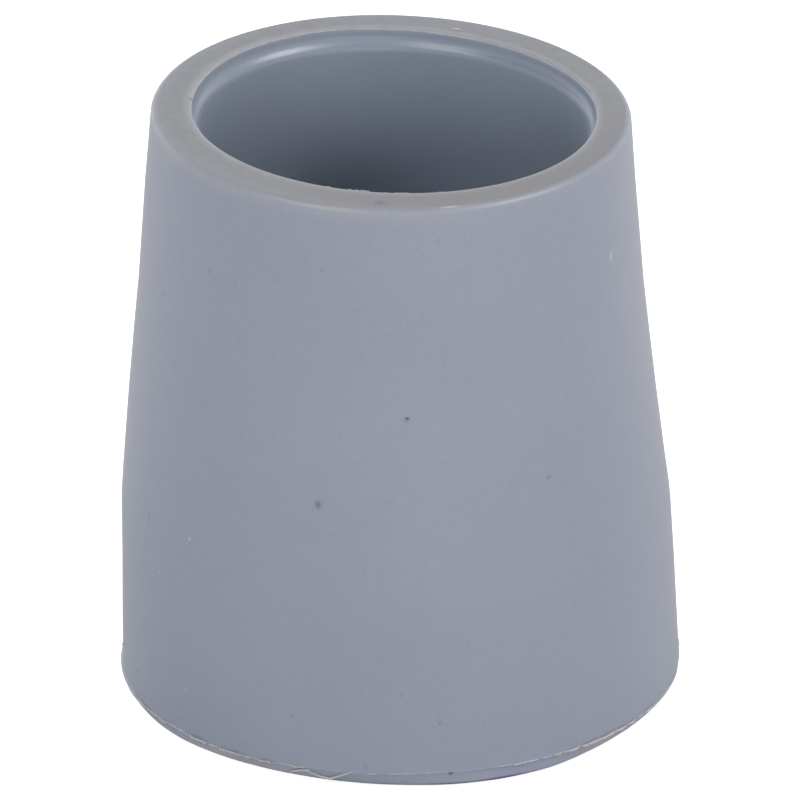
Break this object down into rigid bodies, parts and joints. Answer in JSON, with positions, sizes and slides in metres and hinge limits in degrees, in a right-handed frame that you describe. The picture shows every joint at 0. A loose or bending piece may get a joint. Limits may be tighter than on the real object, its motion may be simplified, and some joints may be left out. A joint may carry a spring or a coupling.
{
  "type": "rubber cane tip",
  "caption": "Tapered rubber tip with a flared foot, a ringed tread and a deep blind bore that is pushed onto the end of a cane or leg shaft.",
  "frame": {"origin": "centre of the tread, on the surface the tip stands on", "axes": "+Z along the bore's axis, from the tread out of the mouth; the moulding is round about Z, so X and Y are free"},
  "size_m": [0.037, 0.037, 0.04],
  "materials": {
    "grey_rubber": "satin moulded rubber"
  },
  "bodies": {
    "root": {"rubber_tip": "grey_rubber"}
  },
  "joints": []
}
